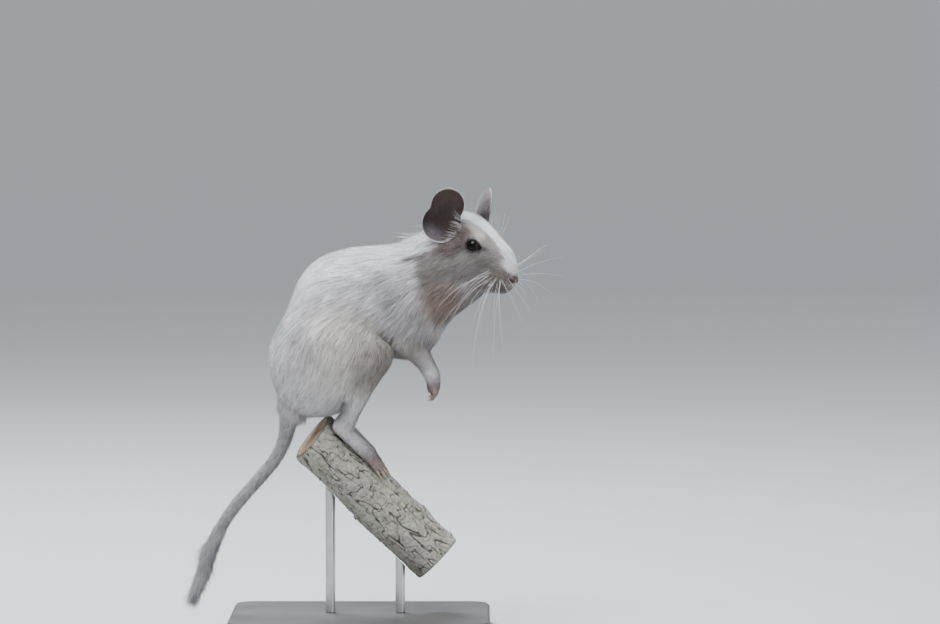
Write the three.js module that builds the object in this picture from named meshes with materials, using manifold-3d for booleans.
// A degu at life size, sitting up on a short cut length of branch that a plain stand holds.
// Millimetres. +X is the way its body faces, +Y its left, +Z up. The origin is under the base.
import * as THREE from "three";
import { mergeVertices } from "three/addons/utils/BufferGeometryUtils.js";
import Module from "manifold-3d";

const wasm = await Module();
wasm.setup();

const GAP = 0.3;
const FAR = 400;
const V = (x, y, z) => new THREE.Vector3(x, y, z);
const deg = THREE.MathUtils.degToRad;
const lerp = THREE.MathUtils.lerp;

// ---------------------------------------------------------------- sizes of the animal
const HEAD = { yaw: deg(32), pitch: deg(21), roll: deg(3), eyes: V(63.3, -12, 195.2) };
const EYE = { radius: 4, back: -1.5, side: 9.2, up: -0.7, lid: 0.75 };
const EAR = {
  right: { back: -19.4, side: -16.4, up: 8.6, turn: deg(48) },
  left: { back: -16.2, side: 17.6, up: 7.2, turn: deg(44) },
  lean: deg(17),
  upper: { x: 2.8, y: 5.8, r: 8.6 },
  lower: { x: -0.8, y: -3.3, r: 9.8 },
  pole: { x: 1.6, y: -3.2 },
  depth: 3.9,
  thick: 1.1,
  lip: 0.6,
};
const TAIL = {
  start: V(-32, 0, 116),
  base: 6.4,
  shaft: 2.9,
  brush: 2.2,
  locks: 16,
  lockLength: 21,
};
const PERCH = {
  start: V(-23.85, 0, 98.35),
  along: V(0.714, 0, -0.7).normalize(),
  radius: 14.5,
  length: 88,
  sides: 26,
  rings: 14,
};
const STAND = { length: 130, width: 100, thick: 10, corner: 9, bevel: 1.2, rod: 2.5 };
const RODS = { rear: -15, front: 20 };
const WHISKERS = { root: 0.36, tip: 0.26, sides: 4, steps: 3 };

// ---------------------------------------------------------------- seeded chance
function dice(seed) {
  let s = seed >>> 0;
  return () => {
    s = (s + 0x6d2b79f5) >>> 0;
    let t = Math.imul(s ^ (s >>> 15), 1 | s);
    t = (t + Math.imul(t ^ (t >>> 7), 61 | t)) ^ t;
    return ((t ^ (t >>> 14)) >>> 0) / 4294967296;
  };
}

// ---------------------------------------------------------------- the head's own axes
const { yaw, pitch, roll } = HEAD;
const AHEAD = V(
  Math.cos(pitch) * Math.cos(yaw),
  -Math.cos(pitch) * Math.sin(yaw),
  -Math.sin(pitch),
);
const LEVEL = V(Math.sin(yaw), Math.cos(yaw), 0);
const ERECT = AHEAD.clone().cross(LEVEL);
const LEFT = LEVEL.clone().multiplyScalar(Math.cos(roll)).addScaledVector(ERECT, Math.sin(roll));
const CROWN = ERECT.clone().multiplyScalar(Math.cos(roll)).addScaledVector(LEVEL, -Math.sin(roll));

const turned = (f, l, u) =>
  AHEAD.clone().multiplyScalar(f).addScaledVector(LEFT, l).addScaledVector(CROWN, u);
const onHead = (f, l, u) => turned(f, l, u).add(HEAD.eyes);

// ---------------------------------------------------------------- masses: signed distances
const soften = (a, b, k) => {
  const h = Math.max(k - Math.abs(a - b), 0) / k;
  return Math.min(a, b) - h * h * k * 0.25;
};

function blob(c, r) {
  return (x, y, z) => {
    const a = (x - c[0]) / r[0];
    const b = (y - c[1]) / r[1];
    const d = (z - c[2]) / r[2];
    const k0 = Math.hypot(a, b, d);
    const k1 = Math.hypot(a / r[0], b / r[1], d / r[2]);
    return (k0 * (k0 - 1)) / Math.max(k1, 1e-9);
  };
}

function limb(a, b, ra, rb) {
  const [ax, ay, az] = a;
  const bx = b[0] - ax;
  const by = b[1] - ay;
  const bz = b[2] - az;
  const l2 = bx * bx + by * by + bz * bz;
  const rr = ra - rb;
  const a2 = l2 - rr * rr;
  return (x, y, z) => {
    const px = x - ax;
    const py = y - ay;
    const pz = z - az;
    const s = px * bx + py * by + pz * bz;
    const t = s - l2;
    const qx = px * l2 - bx * s;
    const qy = py * l2 - by * s;
    const qz = pz * l2 - bz * s;
    const x2 = qx * qx + qy * qy + qz * qz;
    const s2 = s * s * l2;
    const t2 = t * t * l2;
    const k = Math.sign(rr) * rr * rr * x2;
    if (Math.sign(t) * a2 * t2 > k) return Math.sqrt(x2 + t2) / l2 - rb;
    if (Math.sign(s) * a2 * s2 < k) return Math.sqrt(x2 + s2) / l2 - ra;
    return (Math.sqrt((x2 * a2) / l2) + s * rr) / l2 - ra;
  };
}

// Adds masses one after another, each with its own width of blend.
function sculpt(first, ...more) {
  return (x, y, z) => {
    let d = first(x, y, z);
    for (const [field, k] of more) d = soften(d, field(x, y, z), k);
    return d;
  };
}

const both = (field) => (f, l, u) => field(f, Math.abs(l), u);
const xyz = (v) => [v.x, v.y, v.z];

// ---------------------------------------------------------------- head, in its own axes
const skull = sculpt(
  blob([-10.5, 0, -1.2], [15.5, 11.8, 10.4]),
  [both(blob([-9.5, 5.3, -9.2], [12, 8.4, 8.8])), 5],
  [limb([1, 0, -4.2], [14.2, 0, -7.2], 9.6, 6.6), 7],
  [both(blob([6.5, 3.4, -1.6], [8, 4, 4.2])), 5],
  [blob([16, 0, -7.6], [4.8, 4, 4.2]), 3],
  [both(blob([12.7, 3.3, -11.8], [6, 4.2, 4.6])), 3],
  [both(blob([16.5, 1.7, -12.6], [4.2, 3, 3.7])), 2.5],
  [blob([12.6, 0, -16], [7.6, 4.9, 4.8]), 4],
  [both(blob([-2.5, 6.6, 2.4], [6, 3.2, 3])), 4],
);

const head = (x, y, z) => {
  const px = x - HEAD.eyes.x;
  const py = y - HEAD.eyes.y;
  const pz = z - HEAD.eyes.z;
  return skull(
    px * AHEAD.x + py * AHEAD.y + pz * AHEAD.z,
    px * LEFT.x + py * LEFT.y + pz * LEFT.z,
    px * CROWN.x + py * CROWN.y + pz * CROWN.z,
  );
};

// ---------------------------------------------------------------- trunk, legs and feet
const nape = xyz(onHead(-14, 0, -3));
const gullet = xyz(onHead(4, 0, -15.5));

const barrel = sculpt(
  blob([-20, 0, 137], [26, 26, 29]),
  [blob([-5, 0, 163.5], [29, 27, 29]), 10],
  [blob([11, 0, 168], [26, 26, 26]), 8],
  [blob([25, -1, 157], [16.5, 20, 20]), 8],
  [limb([24, 0, 174], nape, 20, 14), 8],
  [limb([28, 0, 162], gullet, 14, 7.6), 8],
);

const thighs = (x, y, z) => haunch(x, Math.abs(y), z);
const haunch = sculpt(
  limb([-12, 14, 148], [6, 22, 142], 18, 10.5),
  [blob([-6, 17, 142], [18, 12, 20]), 6],
);
const shoulders = (x, y, z) => shoulder(x, Math.abs(y), z);
const shoulder = limb([24, 13, 163], [22, 16, 148], 11, 6.5);

const trunk = sculpt(barrel, [head, 6], [thighs, 5], [shoulders, 4]);

const ankle = [-5.5, 11.2, 108];
const shin = limb([7, 23, 139], ankle, 8.2, 4);
const forearm = sculpt(
  limb([22, 16, 147.5], [30, 15, 140], 6.5, 4.8),
  [limb([30, 15, 140], [36.6, 13.5, 129], 4.8, 3.3), 2],
);
const hand = sculpt(
  limb([34.8, 13.9, 132], [36.8, 13.5, 127.5], 3.6, 3.2),
  [blob([36.8, 13.5, 124.6], [3.5, 3.6, 4]), 2],
);

// A place over the branch: along it, round it from the top, and off its bark.
const ATOP = V(0, 1, 0).cross(PERCH.along).negate();
function onPerch(t, round, off) {
  const a = deg(round);
  return PERCH.start
    .clone()
    .addScaledVector(PERCH.along, t)
    .addScaledVector(ATOP, (PERCH.radius + off) * Math.cos(a))
    .add(V(0, (PERCH.radius + off) * Math.sin(a), 0));
}

const foot = sculpt(
  limb(ankle, xyz(onPerch(6, 35, 3.2)), 3.9, 3.6),
  [limb(xyz(onPerch(6, 35, 3)), xyz(onPerch(26, 29, 2.5)), 3.5, 2.7), 3],
  [limb(xyz(onPerch(10, 37, 2.8)), xyz(onPerch(26, 39, 2.3)), 2.9, 2.6), 3],
);

// ---------------------------------------------------------------- a closed skin round a field
const CORNERS = [0, 1, 2, 3, 4, 5, 6, 7].map((i) => [i & 1, (i >> 1) & 1, (i >> 2) & 1]);
const EDGES = [];
CORNERS.forEach((a, i) =>
  CORNERS.forEach((b, j) => {
    const steps = a.reduce((n, v, k) => n + Math.abs(v - b[k]), 0);
    if (j > i && steps === 1) EDGES.push([i, j]);
  }),
);

function skinOf(field, low, high, cell) {
  const n = [0, 1, 2].map((k) => Math.ceil((high[k] - low[k]) / cell) + 1);
  const at = (i, j, k) => (k * n[1] + j) * n[0] + i;
  const value = new Float64Array(n[0] * n[1] * n[2]);
  for (let k = 0; k < n[2]; k++)
    for (let j = 0; j < n[1]; j++)
      for (let i = 0; i < n[0]; i++)
        value[at(i, j, k)] = field(low[0] + i * cell, low[1] + j * cell, low[2] + k * cell);
  const cellOf = new Int32Array(value.length).fill(-1);
  const points = [];
  for (let k = 0; k < n[2] - 1; k++)
    for (let j = 0; j < n[1] - 1; j++)
      for (let i = 0; i < n[0] - 1; i++) {
        const v = CORNERS.map(([a, b, c]) => value[at(i + a, j + b, k + c)]);
        const sum = [0, 0, 0];
        let hits = 0;
        for (const [p, q] of EDGES) {
          if (v[p] < 0 === v[q] < 0) continue;
          const t = v[p] / (v[p] - v[q]);
          for (let c = 0; c < 3; c++) sum[c] += lerp(CORNERS[p][c], CORNERS[q][c], t);
          hits++;
        }
        if (!hits) continue;
        cellOf[at(i, j, k)] = points.length / 3;
        [i, j, k].forEach((c, m) => points.push(low[m] + (c + sum[m] / hits) * cell));
      }
  settle(points, field, cell);
  const faces = [];
  const quad = (a, b, c, d, flip) => {
    const far2 = (p, q) =>
      [0, 1, 2].reduce((s, m) => s + (points[3 * p + m] - points[3 * q + m]) ** 2, 0);
    const ring = flip ? [a, b, c, d] : [d, c, b, a];
    const [p, q, r, s] = far2(a, c) <= far2(b, d) ? ring : [ring[1], ring[2], ring[3], ring[0]];
    faces.push(p, q, r, p, r, s);
  };
  for (let k = 1; k < n[2] - 1; k++)
    for (let j = 1; j < n[1] - 1; j++)
      for (let i = 1; i < n[0] - 1; i++) {
        const here = value[at(i, j, k)] < 0;
        if (here !== value[at(i + 1, j, k)] < 0)
          quad(...[[0, 1, 1], [0, 0, 1], [0, 0, 0], [0, 1, 0]]
            .map(([a, b, c]) => cellOf[at(i - a, j - b, k - c)]), here);
        if (here !== value[at(i, j + 1, k)] < 0)
          quad(...[[1, 0, 1], [1, 0, 0], [0, 0, 0], [0, 0, 1]]
            .map(([a, b, c]) => cellOf[at(i - a, j - b, k - c)]), here);
        if (here !== value[at(i, j, k + 1)] < 0)
          quad(...[[1, 1, 0], [0, 1, 0], [0, 0, 0], [1, 0, 0]]
            .map(([a, b, c]) => cellOf[at(i - a, j - b, k - c)]), here);
      }
  return indexed(points, faces);
}

// Moves each point of a skin onto the field's own surface.
function settle(points, field, cell) {
  const e = 0.05;
  for (let pass = 0; pass < 3; pass++)
    for (let i = 0; i < points.length; i += 3) {
      const [x, y, z] = points.slice(i, i + 3);
      const d = field(x, y, z);
      const gx = (field(x + e, y, z) - field(x - e, y, z)) / (2 * e);
      const gy = (field(x, y + e, z) - field(x, y - e, z)) / (2 * e);
      const gz = (field(x, y, z + e) - field(x, y, z - e)) / (2 * e);
      const g2 = Math.max(gx * gx + gy * gy + gz * gz, 0.1);
      const step = THREE.MathUtils.clamp(d / g2, -0.3 * cell, 0.3 * cell);
      points[i] -= step * gx;
      points[i + 1] -= step * gy;
      points[i + 2] -= step * gz;
    }
}

function indexed(points, faces) {
  return new THREE.BufferGeometry()
    .setAttribute("position", new THREE.Float32BufferAttribute(points, 3))
    .setIndex(faces);
}

// ---------------------------------------------------------------- solids, and cuts between them
function solid(geometry) {
  const bare = geometry.clone();
  for (const name of Object.keys(bare.attributes))
    if (name !== "position") bare.deleteAttribute(name);
  const g = mergeVertices(bare, 1e-4);
  const p = g.attributes.position.array;
  const index = [];
  for (let i = 0; i < g.index.count; i += 3) {
    const [a, b, c] = [0, 1, 2].map((k) => g.index.getX(i + k));
    if (a !== b && b !== c && c !== a) index.push(a, b, c);
  }
  const make = (tri) =>
    new wasm.Manifold(
      new wasm.Mesh({ numProp: 3, vertProperties: p, triVerts: new Uint32Array(tri) }),
    );
  const first = make(index);
  if (first.volume() > 0) return first;
  const back = [];
  for (let i = 0; i < index.length; i += 3) back.push(index[i], index[i + 2], index[i + 1]);
  return make(back);
}

// The half of space on the side that a direction points to, from a small gap past a plane.
function beyond(point, towards, gap = GAP / 2) {
  const n = towards.clone().normalize();
  const g = new THREE.BoxGeometry(FAR, FAR, FAR);
  g.applyQuaternion(new THREE.Quaternion().setFromUnitVectors(V(0, 0, 1), n));
  const c = point.clone().addScaledVector(n, FAR / 2 + gap);
  return solid(g.translate(c.x, c.y, c.z));
}

// The same skin, pushed out along its own normals.
function swollen(geometry, by) {
  const g = geometry.clone();
  g.computeVertexNormals();
  const p = g.attributes.position;
  const n = g.attributes.normal;
  for (let i = 0; i < p.count; i++)
    p.setXYZ(
      i,
      p.getX(i) + by * n.getX(i),
      p.getY(i) + by * n.getY(i),
      p.getZ(i) + by * n.getZ(i),
    );
  return g;
}

const largest = (s) => s.decompose().reduce((a, b) => (a.volume() >= b.volume() ? a : b));

// A panel of even thickness in Y whose outline is a smooth closed curve in X and Z.
function panel(outline, near, deep, grow = 0) {
  const mid = outline.reduce((s, [x, z]) => s.add(new THREE.Vector2(x, z)), new THREE.Vector2());
  mid.divideScalar(outline.length);
  const knots = outline.map(([x, z]) => {
    const out = new THREE.Vector2(x, z).sub(mid);
    return V(...mid.clone().addScaledVector(out, 1 + grow / out.length()).toArray(), 0);
  });
  const curve = new THREE.CatmullRomCurve3(knots, true);
  const shape = new THREE.Shape(curve.getPoints(outline.length * 3).slice(0, -1)
    .map((q) => new THREE.Vector2(q.x, q.y)));
  const g = new THREE.ExtrudeGeometry(shape, { depth: deep + grow, bevelEnabled: false });
  g.rotateX(Math.PI / 2).translate(0, near + deep, 0);
  return g;
}

// ---------------------------------------------------------------- tubes and locks
// Rings of a closed tube along points, with a width and a thickness at each point.
function tube(points, widths, thicks, sides, flatTo) {
  const count = points.length;
  const out = [];
  let across = flatTo.clone();
  points.forEach((c, i) => {
    const a = points[Math.max(i - 1, 0)];
    const b = points[Math.min(i + 1, count - 1)];
    const dir = b.clone().sub(a).normalize();
    across = across.addScaledVector(dir, -across.dot(dir)).normalize();
    const other = dir.clone().cross(across);
    for (let s = 0; s < sides; s++) {
      const q = (2 * Math.PI * s) / sides;
      const p = c.clone().addScaledVector(across, widths[i] * Math.cos(q));
      out.push(...p.addScaledVector(other, thicks[i] * Math.sin(q)).toArray());
    }
    across = across.clone();
  });
  const faces = [];
  for (let i = 0; i < count - 1; i++)
    for (let s = 0; s < sides; s++) {
      const t = (s + 1) % sides;
      const [p, q, r, v] = [i * sides + s, i * sides + t, (i + 1) * sides + t, (i + 1) * sides + s];
      faces.push(p, q, r, p, r, v);
    }
  for (let s = 1; s < sides - 1; s++) {
    const e = (count - 1) * sides;
    faces.push(0, s + 1, s, e, e + s, e + s + 1);
  }
  return indexed(out, faces);
}

const bendOf = (knots, count) =>
  new THREE.CatmullRomCurve3(knots, false, "centripetal").getPoints(count - 1);

const taper = (values, count) =>
  Array.from({ length: count }, (_, i) => {
    const t = (i / (count - 1)) * (values.length - 1);
    const k = Math.min(Math.floor(t), values.length - 2);
    return lerp(values[k], values[k + 1], t - k);
  });

// One digit with its claw: a plump tapering tube that ends in a thin curved point.
function digit(knots, r, claw, sides = 5) {
  const line = bendOf([...knots, claw], 7);
  const w = [0.95, 1.04, 0.94, 1.02, 0.9, 0.5, 0.22].map((k) => k * r);
  return solid(tube(line, w, w.map((v) => v * 0.92), sides, V(0, 1, 0)));
}

// ---------------------------------------------------------------- the ears
function earFrame(side) {
  const seat = side > 0 ? EAR.left : EAR.right;
  const c = onHead(seat.back, seat.side, seat.up);
  const [k, s] = [Math.cos(seat.turn), Math.sin(seat.turn)];
  const face = turned(k, side * s, 0.1).normalize();
  const front = turned(s, -side * k, 0).normalize().applyAxisAngle(face, -side * EAR.lean);
  const top = face.clone().cross(front).multiplyScalar(-side).normalize();
  return { c, face, front, top };
}

function earReach(a) {
  const reach = [EAR.upper, EAR.lower].map(({ x, y, r }) => {
    const along = x * Math.cos(a) + y * Math.sin(a);
    return along + Math.sqrt(r * r - x * x - y * y + along * along);
  });
  return -soften(-reach[0], -reach[1], 1.2);
}

// A shallow cup with a thin wall; filled, it is the room the cup takes up with a gap round it.
function earCup(side, filled) {
  const { c, face, front, top } = earFrame(side);
  const around = 22;
  const rings = 5;
  const grow = filled ? GAP : 0;
  const place = (x, y, w) =>
    c.clone().addScaledVector(front, x).addScaledVector(top, y).addScaledVector(face, w).toArray();
  const dip = (s, a = 0) =>
    -EAR.depth * (1 - s * s) * (1 - 0.5 * s * Math.sin(a)) + EAR.lip * Math.max(0, s - 0.8) * 5;
  const points = [];
  const faces = [];
  const layer = (inner) => {
    const first = points.length / 3;
    const level = inner ? grow * 1.5 : -EAR.thick - grow;
    const flat = inner && filled;
    points.push(...place(EAR.pole.x, EAR.pole.y, (flat ? 0.6 : dip(0)) + level));
    for (let i = 1; i <= rings; i++)
      for (let j = 0; j < around; j++) {
        const a = (2 * Math.PI * j) / around;
        const s = i / rings;
        const reach = (earReach(a) + grow) * (inner ? 1 : 0.985);
        const x = lerp(EAR.pole.x, reach * Math.cos(a), s);
        const y = lerp(EAR.pole.y, reach * Math.sin(a), s);
        points.push(...place(x, y, (flat ? 0.6 * s : dip(s, a)) + level));
      }
    const node = (i, j) => (i ? first + 1 + (i - 1) * around + (j % around) : first);
    for (let i = 0; i < rings; i++)
      for (let j = 0; j < around; j++) {
        const [p, q, r, v] = [node(i, j), node(i + 1, j), node(i + 1, j + 1), node(i, j + 1)];
        const both = i ? [p, q, r, p, r, v] : [p, q, r];
        for (let m = 0; m < both.length; m += 3) {
          const [x, y, z] = both.slice(m, m + 3);
          faces.push(...(inner ? [x, y, z] : [x, z, y]));
        }
      }
    return (j) => node(rings, j);
  };
  const inner = layer(true);
  const outer = layer(false);
  for (let j = 0; j < around; j++)
    faces.push(inner(j), outer(j), outer(j + 1), inner(j), outer(j + 1), inner(j + 1));
  return solid(indexed(points, faces));
}

// ---------------------------------------------------------------- the stand and the branch
function slab() {
  const { length, width, corner, bevel, thick } = STAND;
  const [a, b] = [length / 2 - bevel, width / 2 - bevel];
  const r = corner;
  const s = new THREE.Shape();
  s.moveTo(-a + r, -b);
  s.lineTo(a - r, -b);
  s.absarc(a - r, -b + r, r, -Math.PI / 2, 0, false);
  s.lineTo(a, b - r);
  s.absarc(a - r, b - r, r, 0, Math.PI / 2, false);
  s.lineTo(-a + r, b);
  s.absarc(-a + r, b - r, r, Math.PI / 2, Math.PI, false);
  s.lineTo(-a, -b + r);
  s.absarc(-a + r, -b + r, r, Math.PI, Math.PI * 1.5, false);
  const g = new THREE.ExtrudeGeometry(s, {
    depth: thick - 2 * bevel,
    bevelEnabled: true,
    bevelThickness: bevel,
    bevelSize: bevel,
    bevelSegments: 1,
    curveSegments: 4,
  });
  return solid(g.translate(0, 0, bevel));
}

// How far the bark stands off the branch's own line: slow waves, and two knots.
function bark(t, a) {
  const waves = 0.4 * Math.sin(3 * a + t / 13) + 0.3 * Math.sin(2 * a - t / 8 + 1) - 0.7;
  const knot = (t0, a0, wide, high) => {
    const turn = Math.atan2(Math.sin(a - a0), Math.cos(a - a0)) * PERCH.radius;
    return high * Math.exp(-((t - t0) ** 2 + turn * turn) / (wide * wide));
  };
  const foothold = t < 50 ? 0 : Math.min(1, (t - 50) / 8);
  return Math.min(waves, 0) + foothold * (knot(66, 0.5, 6, 1.6) + knot(60, -2.2, 5, 1.3));
}

function branch(grow) {
  const { start, along, radius, length, sides, rings } = PERCH;
  const out = [];
  for (let i = 0; i <= rings; i++)
    for (let j = 0; j < sides; j++) {
      const a = (2 * Math.PI * j) / sides;
      const t = (length * i) / rings;
      const r = radius + grow + bark(t, a);
      const end = i === 0 ? -grow : i === rings ? grow : 0;
      const slant = i === 0 ? -0.16 * r * Math.sin(a) - 0.1 * r * Math.cos(a) : 0;
      const p = start
        .clone()
        .addScaledVector(along, t + end + slant)
        .addScaledVector(ATOP, r * Math.cos(a))
        .add(V(0, r * Math.sin(a), 0));
      out.push(...p.toArray());
    }
  const faces = [];
  for (let i = 0; i < rings; i++)
    for (let j = 0; j < sides; j++) {
      const t = (j + 1) % sides;
      const [p, q] = [i * sides + j, i * sides + t];
      faces.push(p, q, q + sides, p, q + sides, p + sides);
    }
  for (let j = 1; j < sides - 1; j++) {
    const e = rings * sides;
    faces.push(0, j + 1, j, e, e + j, e + j + 1);
  }
  return solid(indexed(out, faces));
}

// ---------------------------------------------------------------- trunk, neck and head
const trunkSkin = skinOf(trunk, [-52, -42, 98], [94, 42, 224], 4.8);
const trunkSolid = solid(trunkSkin);
const trunkRoom = solid(swollen(trunkSkin, 0.6));
const perchRoom = branch(GAP);

const neckPlane = { at: V(33, 0, 172), to: V(0.9, -0.12, 0.4) };
const headPlane = { at: onHead(-18, 0, -12.3), to: turned(0.53, 0, 0.85) };
const away = (v) => v.clone().negate();

// The trunk's field from a little before each plane on.
const from = (...planes) => {
  const cuts = planes.map(({ at, to }) => {
    const n = to.clone().normalize();
    return [at.dot(n) - 3, n];
  });
  return (x, y, z) =>
    cuts.reduce(
      (d, [start, n]) => Math.max(d, start - x * n.x - y * n.y - z * n.z),
      trunk(x, y, z),
    );
};
const headSkin = skinOf(from(headPlane), [20, -46, 154], [92, 24, 222], 2.9);
let headSolid = solid(headSkin).intersect(beyond(headPlane.at, headPlane.to));

const thighOutline = [
  [-30, 146], [-24, 160], [-8, 166], [6, 160], [13.5, 150],
  [16.8, 141], [12, 130], [-2, 124], [-16, 127], [-26, 135],
];
const armOutline = [
  [20, 168], [27, 175], [34, 167], [35, 154], [31, 143], [25, 140], [20, 147], [18.6, 158],
];
const INNER = 9;
const flip = (geometry) => solid(geometry.clone().scale(1, -1, 1));
const sided = (geometry, side) => (side > 0 ? solid(geometry) : flip(geometry));

let torsoSolid = trunkSolid
  .intersect(beyond(neckPlane.at, away(neckPlane.to)))
  .subtract(perchRoom);
const parts = new Map();
for (const [name, side] of [["right", -1], ["left", 1]]) {
  const thighRoom = sided(panel(thighOutline, INNER, 40), side);
  const armRoom = sided(panel(armOutline, INNER, 40), side);
  parts.set("thigh_" + name, torsoSolid.intersect(thighRoom));
  parts.set("upper_arm_" + name, torsoSolid.intersect(armRoom));
  torsoSolid = torsoSolid
    .subtract(sided(panel(thighOutline, INNER - GAP, 40 + GAP, GAP), side))
    .subtract(sided(panel(armOutline, INNER - GAP, 40 + GAP, GAP), side));
}
parts.set("torso", torsoSolid);

const neckSkin = skinOf(from(neckPlane), [10, -46, 136], [94, 38, 224], 3.9);
let neckSolid = solid(neckSkin)
  .intersect(beyond(neckPlane.at, neckPlane.to))
  .intersect(beyond(headPlane.at, away(headPlane.to)));

// ---------------------------------------------------------------- eyes, lids and ears
for (const [name, side] of [["right", -1], ["left", 1]]) {
  const eye = onHead(EYE.back, side * EYE.side, EYE.up);
  const look = turned(0.22, side * 0.95, 0.2).normalize();
  const ball = (r, across, down) => {
    const g = new THREE.SphereGeometry(r, across, down);
    g.applyQuaternion(new THREE.Quaternion().setFromUnitVectors(V(0, 1, 0), look));
    return solid(g.translate(eye.x, eye.y, eye.z));
  };
  const rim = new THREE.TorusGeometry(EYE.radius - 0.55, EYE.lid, 5, 16);
  rim.scale(1.06, 0.97, 1);
  const basis = new THREE.Matrix4().makeBasis(
    AHEAD.clone().addScaledVector(look, -AHEAD.dot(look)).normalize(),
    look.clone().cross(AHEAD.clone().addScaledVector(look, -AHEAD.dot(look)).normalize()),
    look,
  );
  rim.applyMatrix4(basis);
  const seat = eye.clone().addScaledVector(look, 2.5);
  headSolid = headSolid
    .add(solid(rim.translate(seat.x, seat.y, seat.z)))
    .subtract(ball(EYE.radius + GAP, 14, 10));
  parts.set("eye_" + name, ball(EYE.radius, 14, 10));
  const room = earCup(side, true);
  parts.set("ear_" + name, earCup(side, false));
  headSolid = headSolid.subtract(room);
  neckSolid = neckSolid.subtract(room);
}
parts.set("neck", neckSolid);

// ---------------------------------------------------------------- muzzle, nose and jaw
const mouth = { at: onHead(11, 0, -15.4), to: turned(0.08, 0, 1) };
const muzzleBack = { at: onHead(6, 0, -8), to: turned(1, 0, 0.12) };
const jawBack = { at: onHead(1.5, 0, -14), to: turned(1, 0, -0.5) };
const tip = blob([19.9, 0, -10.5], [2.2, 3.3, 2.8]);
const axes = new THREE.Matrix4().makeBasis(AHEAD, LEFT, CROWN).setPosition(HEAD.eyes);
const tipSkin = skinOf(tip, [16.5, -5, -15.5], [24, 5, -5.5], 1.05).applyMatrix4(axes);
let noseSolid = solid(tipSkin);
for (const side of [-1, 1]) {
  const nostril = new THREE.SphereGeometry(0.85, 10, 7).scale(1.9, 0.9, 0.9);
  nostril.rotateZ(side * 0.5).translate(22, side * 1.6, -10.9).applyMatrix4(axes);
  noseSolid = noseSolid.subtract(solid(nostril));
}
const noseRoom = solid(swollen(tipSkin, GAP));

const face = { at: onHead(0, 0, 0), to: turned(1, 0, 0) };
const frontSkin = skinOf(from(headPlane, face), [40, -46, 150], [92, 24, 222], 2.4);
const front = solid(frontSkin)
  .intersect(beyond(muzzleBack.at, muzzleBack.to))
  .intersect(beyond(headPlane.at, headPlane.to));
let muzzle = front.intersect(beyond(mouth.at, mouth.to)).subtract(noseRoom);
const jaw = solid(frontSkin)
  .intersect(beyond(headPlane.at, headPlane.to))
  .intersect(beyond(mouth.at, away(mouth.to)))
  .intersect(beyond(jawBack.at, jawBack.to));
const rest = headSolid.intersect(beyond(muzzleBack.at, away(muzzleBack.to)));
const headLow = rest
  .intersect(beyond(mouth.at, away(mouth.to), -GAP / 2))
  .intersect(beyond(jawBack.at, away(jawBack.to)));
const headHigh = rest.intersect(beyond(mouth.at, mouth.to));
parts.set("nose", noseSolid);
parts.set("lower_jaw", jaw.subtract(noseRoom));
parts.set("head", headHigh.add(headLow));

// ---------------------------------------------------------------- whiskers on the muzzle
// Each: root on the muzzle (ahead, out, up), then where it ends from there in the same axes.
const whiskerSets = [
  { side: -1, roots: [12, -5.6, -10.5], ends: [
    [-8, -20, -22], [-1, -17, -30], [3, -15, -33], [12, -14, -30], [18, -12, -24],
    [-14, -22, -12], [20, -14, -14],
  ] },
  { side: 1, roots: [12, 5.6, -10.5], ends: [
    [6, 24, 20], [12, 25, 13], [17, 22, 5], [16, 22, -6], [8, 24, -14],
    [2, 28, 12], [-2, 28, -6],
  ] },
];
for (const { side, roots, ends } of whiskerSets)
  ends.forEach((end, i) => {
    const row = i % 3;
    const root = onHead(roots[0] + 1.5 * row, roots[1], roots[2] + 1.3 * (row - 1));
    const stop = root.clone().add(turned(...end));
    const mid = root.clone().lerp(stop, 0.45).add(turned(1.5, side * 3.2, 1.6));
    const line = bendOf([root.clone().add(turned(0, -side * 1.6, 0)), root, mid, stop],
      WHISKERS.steps + 2);
    const w = taper([WHISKERS.root, WHISKERS.root, WHISKERS.tip], line.length);
    muzzle = muzzle.add(solid(tube(line, w, w, WHISKERS.sides, V(0, 0, 1))));
  });
parts.set("muzzle", muzzle);

// ---------------------------------------------------------------- legs
const mirror = (s) => (side) => (side > 0 ? s : s.mirror([0, 1, 0]));
const wrist = { at: V(36, 13.7, 129.8), to: V(0.45, 0, -1) };
const heel = { at: V(...ankle).add(V(0.6, 0.6, 1.6)), to: V(-0.38, -0.34, -1) };

const armSkin = skinOf(forearm, [12, 5, 122], [44, 27, 157], 2.9);
const armShape = solid(armSkin).intersect(beyond(wrist.at, away(wrist.to)));

let handShape = solid(skinOf(hand, [29, 7, 116], [44, 20, 138], 2))
  .intersect(beyond(wrist.at, wrist.to));
for (let i = 0; i < 4; i++) {
  const y = 13.5 + (i - 1.5) * 1.85;
  const bow = 0.8 - 0.35 * (i - 1.5) ** 2;
  handShape = handShape.add(
    digit(
      [V(37.2, y, 123.6), V(37.6 + bow * 0.4, y, 120.9), V(36, y * 0.98 + 0.27, 118.4 - bow * 0.5)],
      1.25,
      V(33.6, y, 117.6),
    ),
  );
}
handShape = handShape.add(
  digit([V(35, 11, 124), V(34.4, 10.2, 122.4), V(34.2, 10, 121.4)], 0.9, V(33.6, 10.2, 120.4), 5),
);

const shinSkin = skinOf(shin, [-14, 3, 98], [20, 36, 152], 3.3);
const shinShape = solid(shinSkin).intersect(beyond(heel.at, away(heel.to)));

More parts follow.
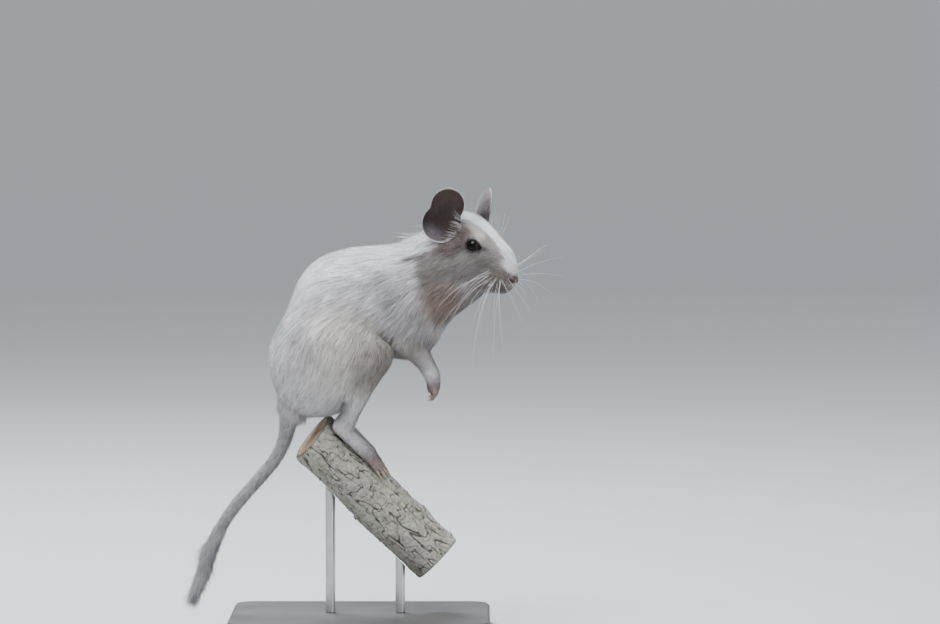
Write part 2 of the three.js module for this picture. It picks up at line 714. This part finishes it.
let footShape = solid(skinOf(foot, [-20, -2, 72], [22, 26, 116], 2.6))
  .intersect(beyond(heel.at, heel.to));
const toes = [
  { from: 30, to: 22, length: 9.5, r: 1.35 },
  { from: 33, to: 30.5, length: 13, r: 1.5 },
  { from: 37, to: 39, length: 13.5, r: 1.5 },
  { from: 41, to: 47, length: 11, r: 1.4 },
];
for (const { from, to, length, r } of toes) {
  const reach = (k, off) => onPerch(25 + length * k, lerp(from, to, k), off);
  footShape = footShape.add(
    digit([reach(-0.2, 2.4), reach(0.35, 2.5), reach(0.8, 1.9)], r, reach(1.22, 0.75)),
  );
}
const spur = (k, off) => onPerch(17 + 5 * k, lerp(24, 17, k), off);
footShape = footShape.add(
  digit([spur(0, 2.4), spur(0.6, 2.2), spur(1, 1.7)], 1.05, spur(1.5, 0.9), 5),
);

for (const [name, side] of [["right", -1], ["left", 1]]) {
  parts.set("forearm_" + name, mirror(armShape)(side).subtract(trunkRoom));
  parts.set("forepaw_" + name, mirror(handShape)(side));
  parts.set("shank_" + name, mirror(shinShape)(side).subtract(trunkRoom).subtract(perchRoom));
  parts.set("hindfoot_" + name, mirror(footShape)(side).subtract(perchRoom));
}

// ---------------------------------------------------------------- tail
const tailLine = new THREE.CatmullRomCurve3(
  [
    TAIL.start, V(-36, 0, 106), V(-37.6, 0, 97), V(-43.3, 0, 86), V(-51, 0, 77),
    V(-58.5, 0, 68.5), V(-65.3, 0, 60), V(-71, 0, 50.5), V(-75, 0, 41), V(-78.4, 0, 31.5),
    V(-81.6, 0, 22),
  ],
  false,
  "centripetal",
);
const tailWidth = (t) => {
  const root = TAIL.base * Math.exp(-t * 16) + TAIL.shaft;
  return lerp(root, TAIL.brush, THREE.MathUtils.smoothstep(t, 0.55, 1));
};
function tailLength(from, to, rings, sides) {
  const at = Array.from({ length: rings + 1 }, (_, i) => lerp(from, to, i / rings));
  const w = at.map(tailWidth);
  return solid(tube(at.map((t) => tailLine.getPointAt(t)), w, w, sides, V(0, 1, 0)));
}
const joint = GAP / tailLine.getLength();
parts.set("tail_base", tailLength(0, 0.3, 10, 10).subtract(trunkRoom));
parts.set("tail_middle", tailLength(0.3 + joint, 0.64, 10, 9));

// A flat lock of stiff hair: thin, widest near its root, bent down towards its tip.
function lock(root, dir, sag, length, width, turn) {
  const line = Array.from({ length: 4 }, (_, i) => {
    const k = i / 3;
    return root.clone().addScaledVector(dir, length * k).addScaledVector(sag, length * k * k);
  });
  const w = [0.8, 1, 0.65, 0.18].map((k) => k * width);
  const t = [0.55, 0.5, 0.38, 0.2].map((k) => k * 1.1);
  return solid(tube(line, w, t, 5, turn));
}
let brush = tailLength(0.64 + joint, 1, 9, 9);
const chance = dice(11);
for (let i = 0; i < TAIL.locks; i++) {
  const t = 0.7 + 0.3 * Math.pow(i / (TAIL.locks - 1), 0.8);
  const a = i * 2.39996;
  const at = tailLine.getPointAt(Math.min(t, 1));
  const dir = tailLine.getTangentAt(Math.min(t, 1));
  const side = V(0, 1, 0);
  const over = dir.clone().cross(side).normalize();
  const out = side.clone().multiplyScalar(Math.cos(a)).addScaledVector(over, Math.sin(a));
  const spread = lerp(0.34, 0.12, (t - 0.7) / 0.3) + 0.12 * chance();
  const way = dir.clone().addScaledVector(out, spread).normalize();
  const root = at.clone().addScaledVector(out, tailWidth(t) * 0.55);
  const length = TAIL.lockLength * (0.62 + 0.24 * chance());
  const across = way.clone().cross(out).normalize();
  brush = brush.add(lock(root, way, V(0.02, 0, -0.05), length, 1.5, across));
}
parts.set("tail_brush", brush);

// ---------------------------------------------------------------- branch, base and rods
parts.set("perch", branch(0));
parts.set("stand_base", slab());
for (const [name, x] of Object.entries(RODS)) {
  const bottom = STAND.thick + GAP;
  const g = new THREE.CylinderGeometry(STAND.rod, STAND.rod, 120, 20);
  g.rotateX(Math.PI / 2).translate(x, 0, bottom + 60);
  const whole = solid(g).subtract(perchRoom);
  const low = whole.decompose().find((s) => s.boundingBox().min[2] < bottom + 1);
  parts.set("stand_rod_" + name, low);
}

// ---------------------------------------------------------------- short edges taken out
// Joins and cuts leave slivers. Each edge under a length is closed up where the skin stays whole
// and no face turns over, keeping the end where the skin bends more.
function neat(mesh, shortest) {
  const n = mesh.numProp;
  const at = Array.from({ length: mesh.numVert }, (_, i) =>
    V(...mesh.vertProperties.subarray(i * n, i * n + 3)));
  const faces = [];
  const fans = at.map(() => new Set());
  for (let i = 0; i < mesh.triVerts.length; i += 3) {
    const f = Array.from(mesh.triVerts.subarray(i, i + 3));
    f.forEach((v) => fans[v].add(faces.length));
    faces.push(f);
  }
  const normal = (f, old, place) => {
    const [a, b, c] = f.map((v) => (v === old ? place : at[v]));
    return b.clone().sub(a).cross(c.clone().sub(a));
  };
  const round = (v) => new Set([...fans[v]].flatMap((f) => faces[f]).filter((w) => w !== v));
  const bend = (v) => {
    const ns = [...fans[v]].map((f) => normal(faces[f]).normalize());
    return Math.min(...ns.map((m) => m.dot(ns[0])));
  };
  const close = (a, b) => {
    const near = round(b);
    if ([...round(a)].filter((v) => near.has(v)).length !== 2) return false;
    const [keep, lose] = bend(a) <= bend(b) ? [a, b] : [b, a];
    for (const id of fans[lose]) {
      const f = faces[id];
      if (f.includes(keep)) continue;
      const was = normal(f);
      const now = normal(f, lose, at[keep]);
      if (was.length() > 1e-7 && now.dot(was) < 0.5 * now.length() * was.length()) return false;
      if (now.length() < 1e-5) return false;
    }
    for (const id of [...fans[lose]]) {
      const f = faces[id];
      if (f.includes(keep)) {
        f.forEach((v) => fans[v].delete(id));
        faces[id] = null;
      } else {
        f[f.indexOf(lose)] = keep;
        fans[keep].add(id);
      }
    }
    fans[lose].clear();
    return true;
  };
  for (let again = true; again; ) {
    again = false;
    for (let id = 0; id < faces.length; id++)
      for (let k = 0; k < 3 && faces[id]; k++) {
        const [a, b] = [faces[id][k], faces[id][(k + 1) % 3]];
        if (at[a].distanceTo(at[b]) < shortest && close(a, b)) again = true;
      }
  }
  const used = new Map();
  const points = [];
  const index = faces.filter(Boolean).flatMap((f) =>
    f.map((v) => {
      if (!used.has(v)) {
        used.set(v, points.length / 3);
        points.push(at[v].x, at[v].y, at[v].z);
      }
      return used.get(v);
    }));
  return indexed(points, index);
}

const SHORTEST = {
  torso: 0.9,
  thigh: 0.9,
  upper_arm: 0.8,
  neck: 0.8,
  head: 0.5,
  shank: 0.6,
  forearm: 0.5,
  tail_base: 0.5,
  hindfoot: 0.3,
  forepaw: 0.25,
  muzzle: 0.25,
  lower_jaw: 0.4,
};

// ---------------------------------------------------------------- colours and the group
const COLOURS = {
  eye: 0x17110e,
  ear: 0x8f857e,
  nose: 0xa98a80,
  forepaw: 0xa4978f,
  hindfoot: 0xa4978f,
  tail: 0xb7b1aa,
  perch: 0x8d857c,
  stand: 0x3a3b3d,
};
const group = new THREE.Group();
group.name = "degu";
for (const [name, shape] of parts) {
  const kind = Object.keys(SHORTEST).find((k) => name.startsWith(k));
  const g = neat(largest(shape).getMesh(), SHORTEST[kind] ?? 0.12);
  g.computeVertexNormals();
  const key = Object.keys(COLOURS).find((k) => name.startsWith(k));
  const mesh = new THREE.Mesh(
    g,
    new THREE.MeshStandardMaterial({ color: COLOURS[key] ?? 0xe4ded4, roughness: 0.85 }),
  );
  mesh.name = name;
  group.add(mesh);
}

export default group;
